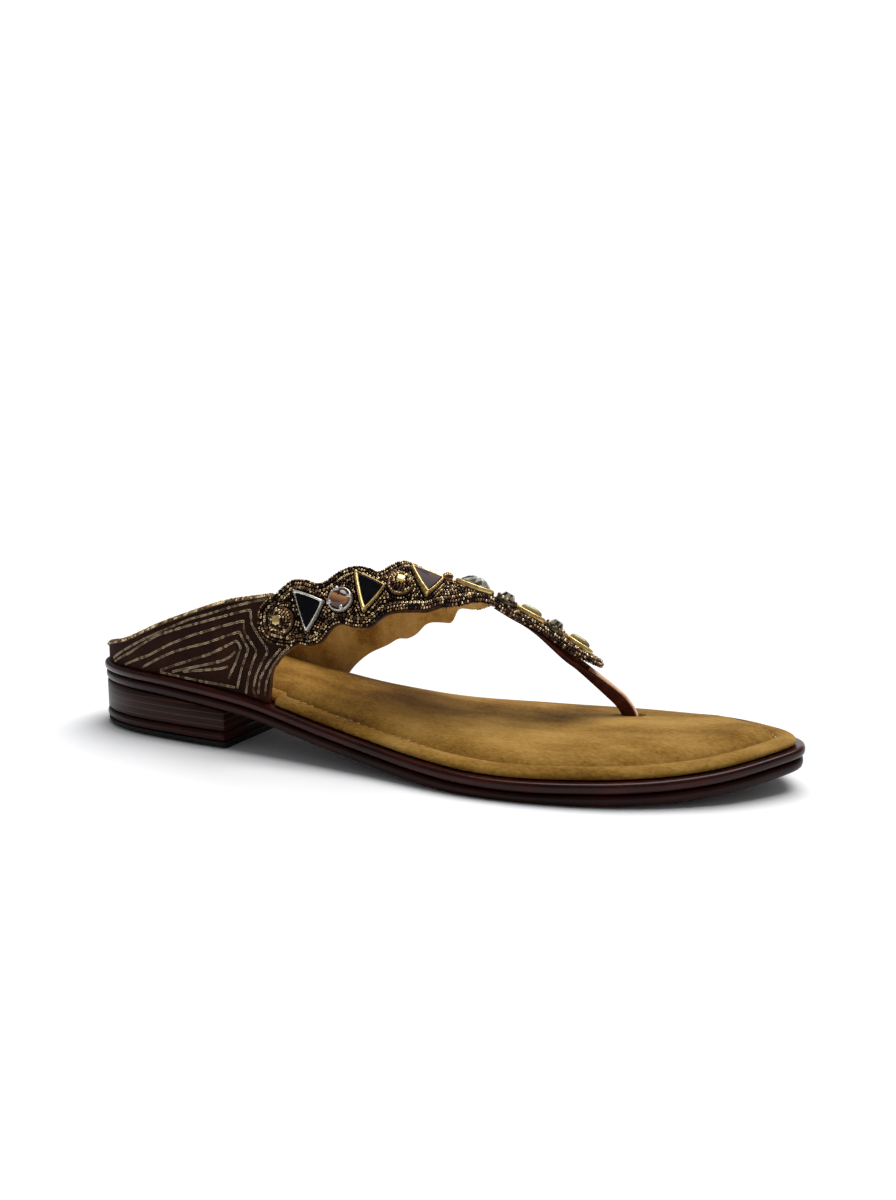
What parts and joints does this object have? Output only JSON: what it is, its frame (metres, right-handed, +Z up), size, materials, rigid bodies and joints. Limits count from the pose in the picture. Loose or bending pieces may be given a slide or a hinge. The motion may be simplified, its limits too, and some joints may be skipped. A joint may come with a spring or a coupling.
{
  "type": "thong sandal",
  "caption": "Backless toe-post sandal with jewelled side straps, a cushioned footbed and a low stacked heel, standing empty.",
  "frame": {"origin": "on the floor, under the middle of the sandal's box", "axes": "+X from heel to toe, +Y to the medial side, which is the wearer's left, +Z up"},
  "size_m": [0.256, 0.0896, 0.0644],
  "materials": {
    "sole_leather": "polished mahogany edge",
    "heel_stack": "stained stacked layers",
    "rubber": "matt black",
    "footbed": "tan nubuck",
    "upper": "brown suede",
    "toe_post": "burnished mahogany",
    "bezel_silver": "bright",
    "bezel_gold": "bright",
    "bezel_copper": "bright",
    "stone_black": "polished, flat topped",
    "stone_amber": "polished and faceted",
    "stone_crystal": "polished and faceted"
  },
  "bodies": {
    "root": {"welt": "sole_leather", "outsole": "sole_leather", "heel_stack": "heel_stack", "heel_lift": "sole_leather", "heel_tip": "rubber", "footbed": "footbed", "upper": "upper", "toe_post": "toe_post", "lateral_round_1_bezel": "bezel_silver", "lateral_round_1_stone": "stone_amber", "lateral_triangle_1_bezel": "bezel_silver", "lateral_triangle_1_stone": "stone_black", "lateral_round_2_bezel": "bezel_gold", "lateral_round_2_stone": "stone_amber", "lateral_triangle_2_bezel": "bezel_gold", "lateral_triangle_2_stone": "stone_black", "lateral_round_3_bezel": "bezel_copper", "lateral_round_3_stone": "stone_amber", "lateral_triangle_3_bezel": "bezel_copper", "lateral_triangle_3_stone": "stone_black", "medial_round_1_bezel": "bezel_silver", "medial_round_1_stone": "stone_amber", "medial_triangle_1_bezel": "bezel_silver", "medial_triangle_1_stone": "stone_black", "medial_round_2_bezel": "bezel_gold", "medial_round_2_stone": "stone_amber", "medial_triangle_2_bezel": "bezel_gold", "medial_triangle_2_stone": "stone_black", "medial_round_3_bezel": "bezel_copper", "medial_round_3_stone": "stone_amber", "medial_triangle_3_bezel": "bezel_copper", "medial_triangle_3_stone": "stone_black", "centre_round_1_bezel": "bezel_silver", "centre_round_1_stone": "stone_amber", "centre_navette_1_bezel": "bezel_silver", "centre_navette_1_stone": "stone_crystal", "centre_round_2_bezel": "bezel_gold", "centre_round_2_stone": "stone_amber", "centre_navette_2_bezel": "bezel_gold", "centre_navette_2_stone": "stone_crystal", "centre_round_3_bezel": "bezel_copper", "centre_round_3_stone": "stone_amber", "centre_navette_3_bezel": "bezel_copper", "centre_navette_3_stone": "stone_crystal"}
  },
  "joints": []
}
